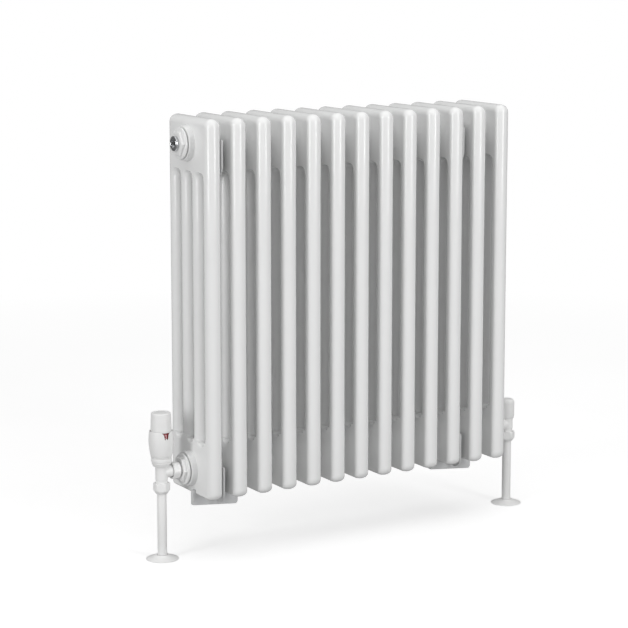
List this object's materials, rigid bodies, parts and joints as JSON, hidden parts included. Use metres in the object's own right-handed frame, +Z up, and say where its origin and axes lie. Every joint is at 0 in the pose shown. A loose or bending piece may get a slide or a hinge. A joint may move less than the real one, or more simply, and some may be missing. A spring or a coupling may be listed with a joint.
{
  "type": "column radiator",
  "caption": "White column radiator on wall brackets, with an angled thermostatic valve, an angled lockshield valve and riser pipes; gives off heat from hot water.",
  "frame": {"origin": "on the floor, midway between the two floor plates and midway from the front of the heads to the wall", "axes": "+X along the radiator towards the lockshield valve, +Y towards the wall, +Z up"},
  "size_m": [0.717, 0.1734, 0.7],
  "materials": {
    "body_paint": "gloss white paint on steel",
    "valve_paint": "satin white paint on brass",
    "white_plastic": "satin white moulded plastic",
    "chrome": "polished chrome plate",
    "brass": "turned brass",
    "gasket_rubber": "matte grey rubber",
    "dial_red": "dark red moulded plastic",
    "bracket_steel": "light grey painted steel",
    "saddle_plastic": "grey moulded plastic"
  },
  "bodies": {
    "root": {"section_01": "body_paint", "section_02": "body_paint", "section_03": "body_paint", "section_04": "body_paint", "section_05": "body_paint", "section_06": "body_paint", "section_07": "body_paint", "section_08": "body_paint", "section_09": "body_paint", "section_10": "body_paint", "section_11": "body_paint", "section_12": "body_paint", "section_13": "body_paint", "gasket_top_left": "gasket_rubber", "gasket_bottom_left": "gasket_rubber", "gasket_top_right": "gasket_rubber", "gasket_bottom_right": "gasket_rubber", "bush_top_left": "body_paint", "bush_bottom_left": "body_paint", "bush_top_right": "body_paint", "bush_bottom_right": "body_paint", "air_vent_body": "chrome", "blanking_plug": "chrome", "trv_tailpiece": "valve_paint", "trv_union_nut": "valve_paint", "trv_body": "valve_paint", "trv_compression_nut": "valve_paint", "trv_olive": "brass", "pipe_left": "valve_paint", "trv_insert": "brass", "trv_collar_nut": "white_plastic", "trv_housing": "white_plastic", "lockshield_tailpiece": "valve_paint", "lockshield_union_nut": "valve_paint", "lockshield_body": "valve_paint", "lockshield_compression_nut": "valve_paint", "lockshield_olive": "brass", "pipe_right": "valve_paint", "lockshield_gland": "brass", "bracket_upper_left": "bracket_steel", "bracket_lower_left": "bracket_steel", "bracket_upper_right": "bracket_steel", "bracket_lower_right": "bracket_steel", "saddle_left": "saddle_plastic", "saddle_right": "saddle_plastic"},
    "bleed_screw": {"bleed_screw": "chrome"},
    "trv_dial": {"trv_dial_cap": "white_plastic", "trv_number_drum": "dial_red"},
    "trv_lift": {"trv_sensor": "brass", "trv_pin": "brass"},
    "lockshield_plug": {"lockshield_plug": "brass"},
    "lockshield_spindle": {"lockshield_spindle": "brass"},
    "lockshield_cap": {"lockshield_cap": "white_plastic"},
    "floor_plate_left": {"floor_plate_left": "valve_paint"},
    "floor_plate_right": {"floor_plate_right": "valve_paint"}
  },
  "joints": [
    {"name": "bleed_turn", "type": "hinge", "parent": "root", "child": "bleed_screw", "pos_m": [-0.29235, -0.017, 0.659], "axis": [-1, 0, 0], "range_deg": [0, 360]},
    {"name": "trv_lift", "type": "slide", "parent": "root", "child": "trv_lift", "axis": [0, 0, 1], "range_m": [-0.00134, 0.00089]},
    {"name": "trv_turn", "type": "hinge", "parent": "root", "child": "trv_dial", "pos_m": [-0.33285, -0.017, 0.141], "axis": [0, 0, 1], "range_deg": [-168, 112]},
    {"name": "lockshield_rise", "type": "slide", "parent": "root", "child": "lockshield_plug", "axis": [0, 0, 1], "range_m": [-0.0015, 0.0015]},
    {"name": "lockshield_turn", "type": "hinge", "parent": "lockshield_plug", "child": "lockshield_spindle", "pos_m": [0.33285, -0.017, 0.141], "axis": [0, 0, 1], "range_deg": [-540.1, 540.1]},
    {"name": "lockshield_cap_pull", "type": "slide", "parent": "root", "child": "lockshield_cap", "axis": [0, 0, 1], "range_m": [0, 0.04]},
    {"name": "floor_plate_left_lift", "type": "slide", "parent": "root", "child": "floor_plate_left", "axis": [0, 0, 1], "range_m": [0, 0.09]},
    {"name": "floor_plate_right_lift", "type": "slide", "parent": "root", "child": "floor_plate_right", "axis": [0, 0, 1], "range_m": [0, 0.09]}
  ],
  "couplings": [
    {"joint": "trv_turn", "follows": "trv_lift", "rad_per_m": 2181.7},
    {"joint": "lockshield_turn", "follows": "lockshield_rise", "rad_per_m": 6283.2}
  ]
}
